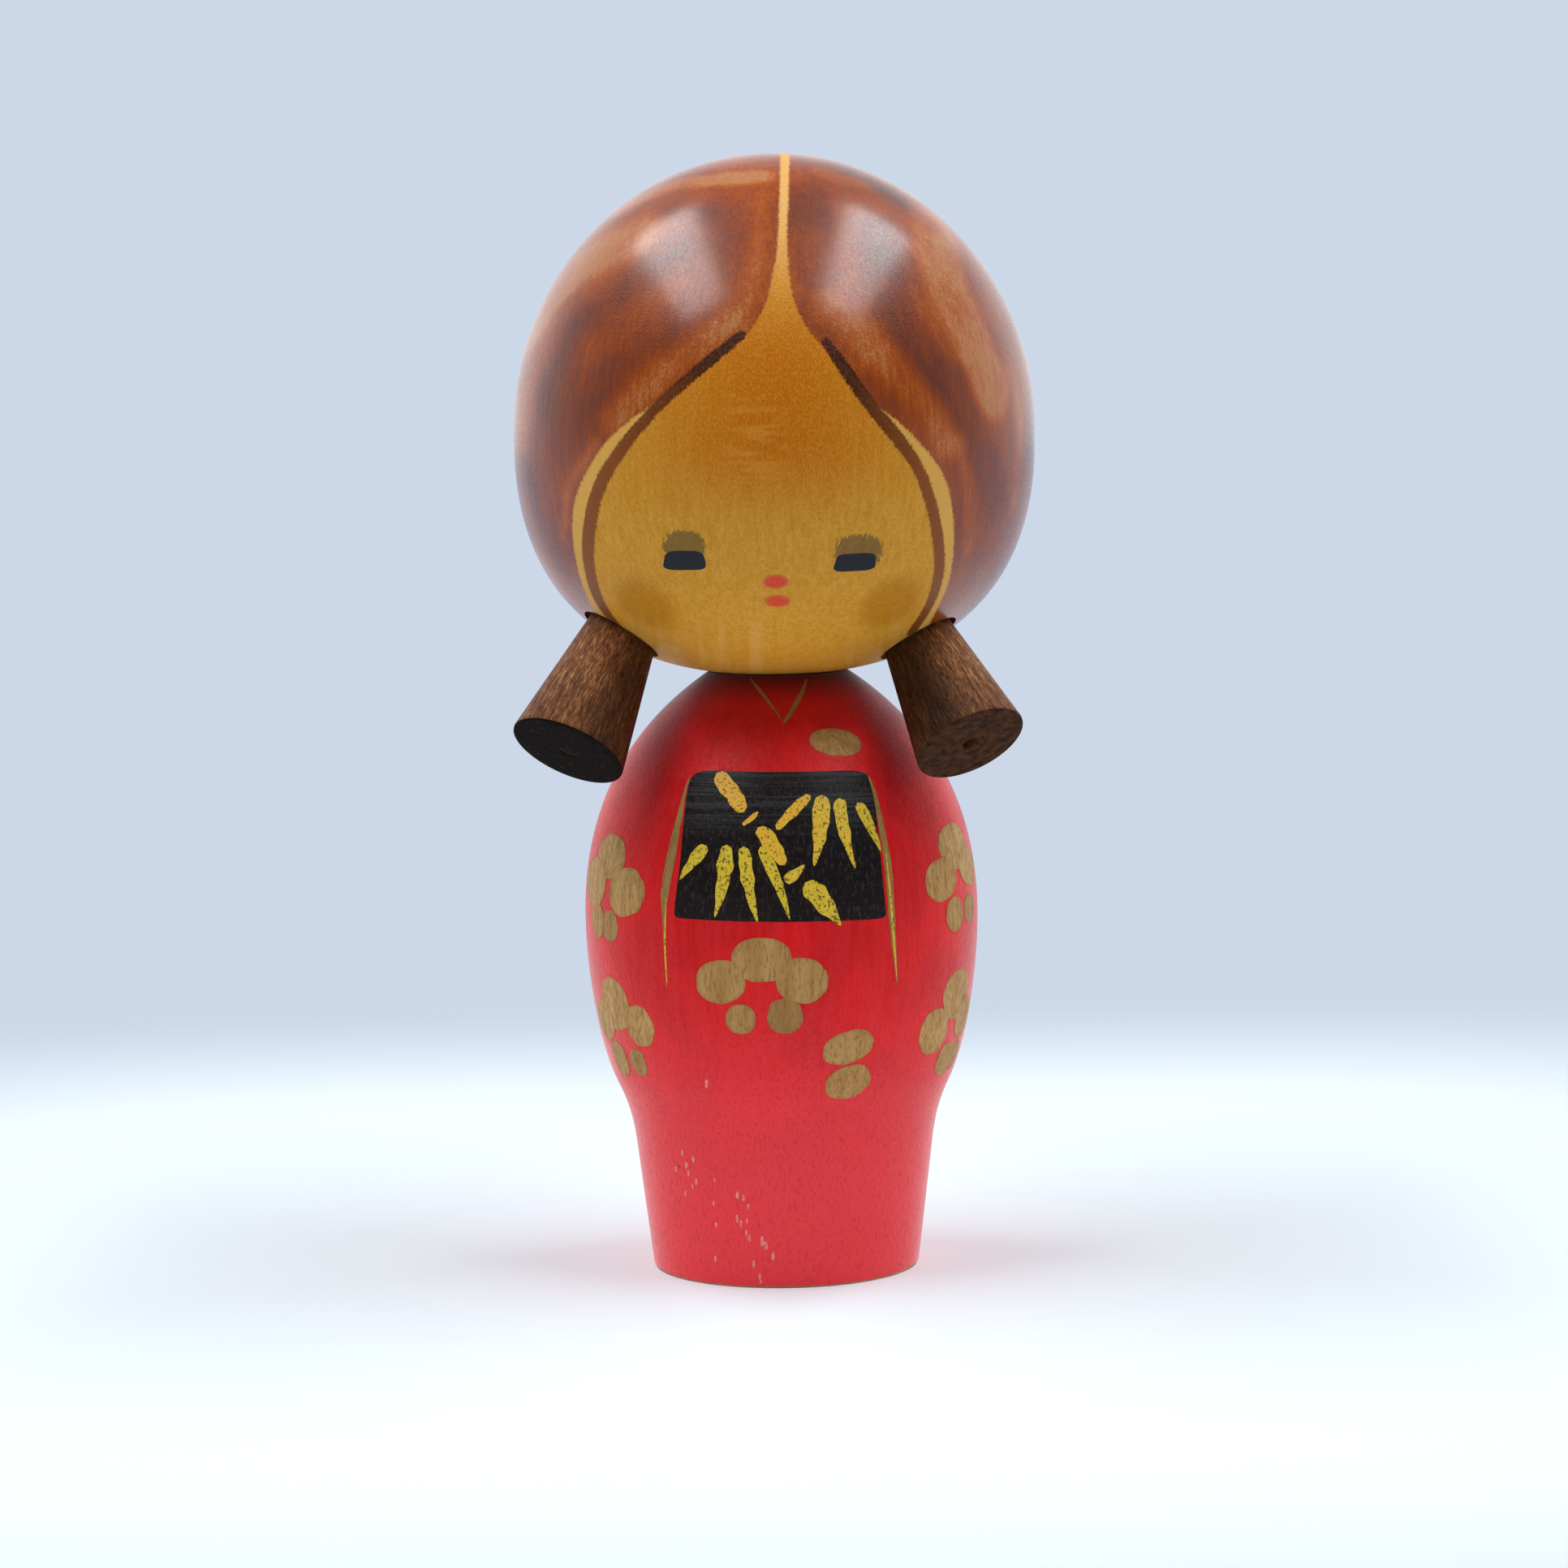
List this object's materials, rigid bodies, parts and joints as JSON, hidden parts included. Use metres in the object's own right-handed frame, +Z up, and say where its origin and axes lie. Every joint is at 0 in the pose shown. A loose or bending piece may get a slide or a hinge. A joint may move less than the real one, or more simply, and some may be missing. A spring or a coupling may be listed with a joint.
{
  "type": "kokeshi doll",
  "caption": "Turned wooden doll: egg-shaped painted body, round head that turns on a hidden dowel, and cone pigtails that turn on pegs.",
  "frame": {"origin": "centre of the foot, on the surface the doll stands on", "axes": "+Z up along the turned axis, the face looks along -Y"},
  "size_m": [0.0698, 0.0698, 0.15],
  "materials": {
    "red_lacquer": "painted red, satin",
    "head_wood": "waxed, partly stained brown",
    "dark_stain": "dark brown stain, dry",
    "bare_wood": "bare",
    "black_paint": "black brushed paint",
    "gold_paint": "dull gold brushed paint",
    "yellow_paint": "yellow brushed paint",
    "lip_paint": "soft red paint"
  },
  "bodies": {
    "torso": {"body": "red_lacquer"},
    "head": {"head": "head_wood", "neck_dowel": "bare_wood", "left_pigtail_peg": "bare_wood", "right_pigtail_peg": "bare_wood"},
    "left_pigtail": {"left_pigtail": "dark_stain"},
    "right_pigtail": {"right_pigtail": "dark_stain"}
  },
  "joints": [
    {"name": "head_turn", "type": "hinge", "parent": "torso", "child": "head", "pos_m": [0, 0, 0.0809], "axis": [0, 0, 1], "continuous": true},
    {"name": "left_pigtail_turn", "type": "hinge", "parent": "head", "child": "left_pigtail", "pos_m": [-0.0209, -0.01042, 0.0863], "axis": [-0.379, -0.4851, -0.788], "continuous": true},
    {"name": "right_pigtail_turn", "type": "hinge", "parent": "head", "child": "right_pigtail", "pos_m": [0.0189, -0.01051, 0.0852], "axis": [0.3669, -0.5439, -0.7547], "continuous": true}
  ]
}
